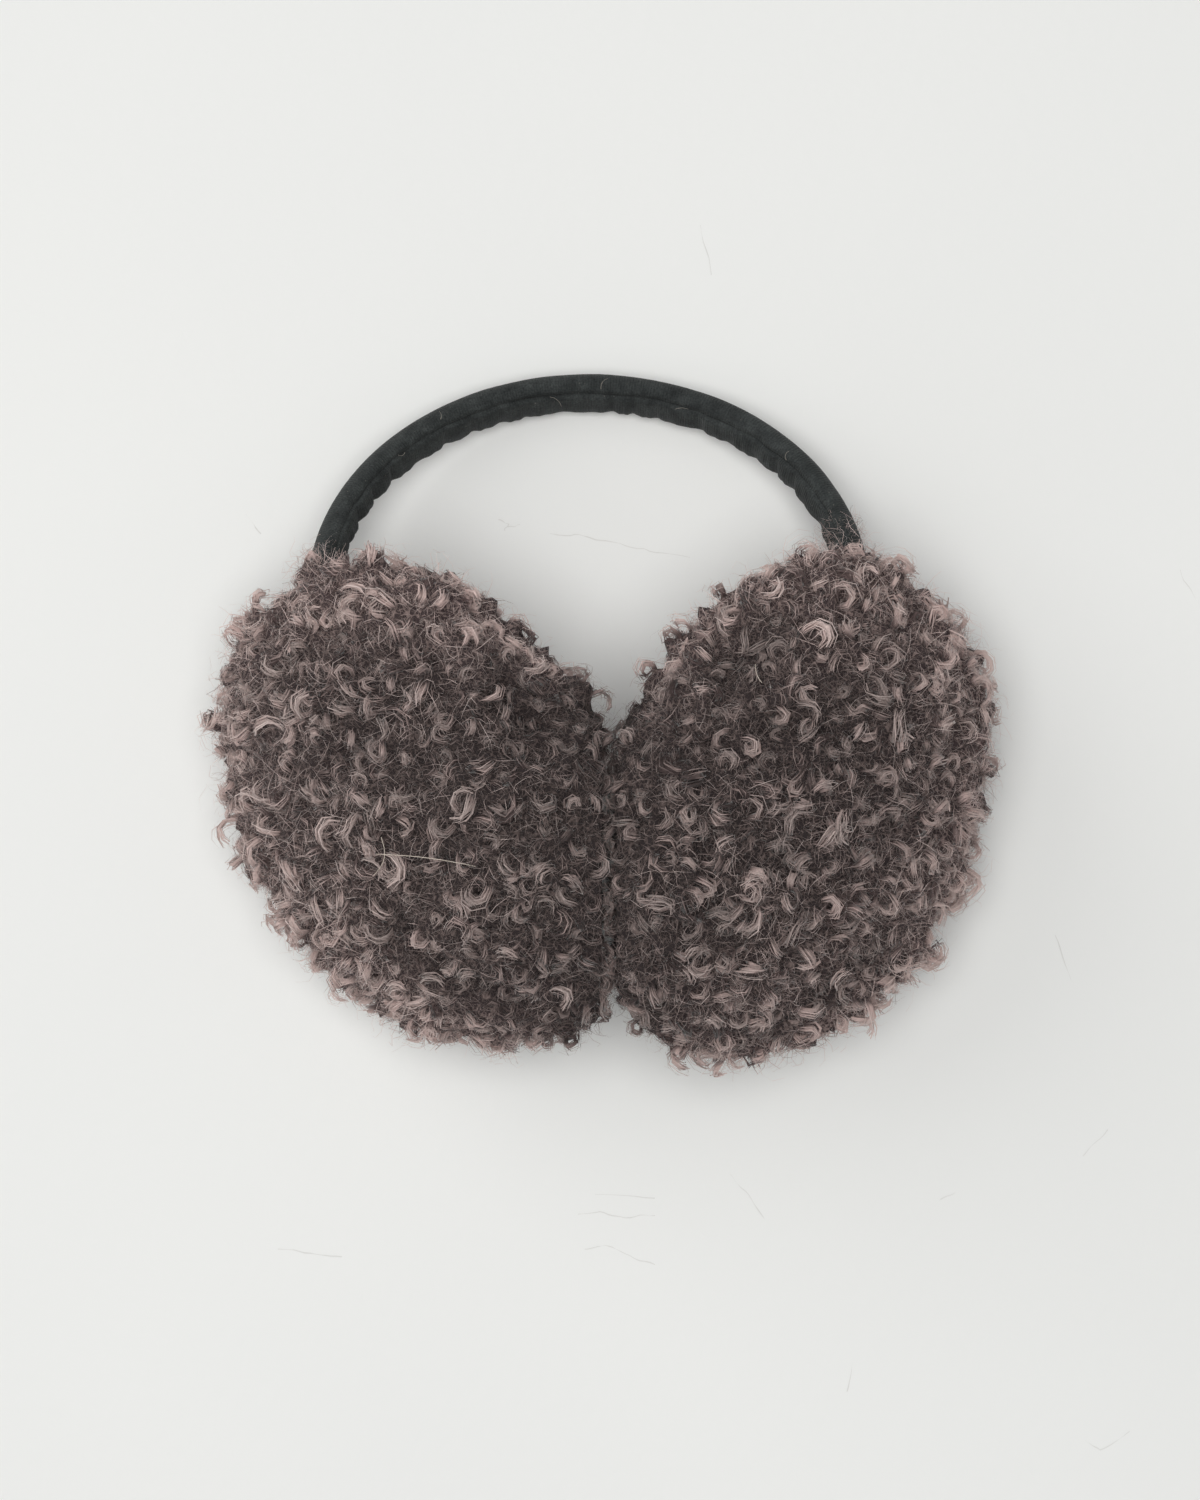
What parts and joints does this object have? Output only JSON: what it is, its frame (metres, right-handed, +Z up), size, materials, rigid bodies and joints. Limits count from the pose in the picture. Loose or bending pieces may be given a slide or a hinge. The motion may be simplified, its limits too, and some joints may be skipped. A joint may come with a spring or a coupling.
{
  "type": "fur earmuffs",
  "caption": "Fur earmuffs lying at rest: two plump curly-fur ear pads pressed together on an arched headband in a gathered cloth sleeve.",
  "frame": {"origin": "middle of the footprint's box, on the surface that the earmuffs lie on", "axes": "+X from the left pad to the right pad as seen from above, +Y towards the headband's crown, +Z up"},
  "size_m": [0.1854, 0.1628, 0.0922],
  "materials": {
    "curly_fur": "matt curly pile, taupe",
    "sleeve_cloth": "matt napped knit, near black"
  },
  "bodies": {
    "root": {"headband_sleeve": "sleeve_cloth", "ear_pad_left_cover": "curly_fur", "ear_pad_left_cushion": "curly_fur", "ear_pad_right_cover": "curly_fur", "ear_pad_right_cushion": "curly_fur"}
  },
  "joints": []
}
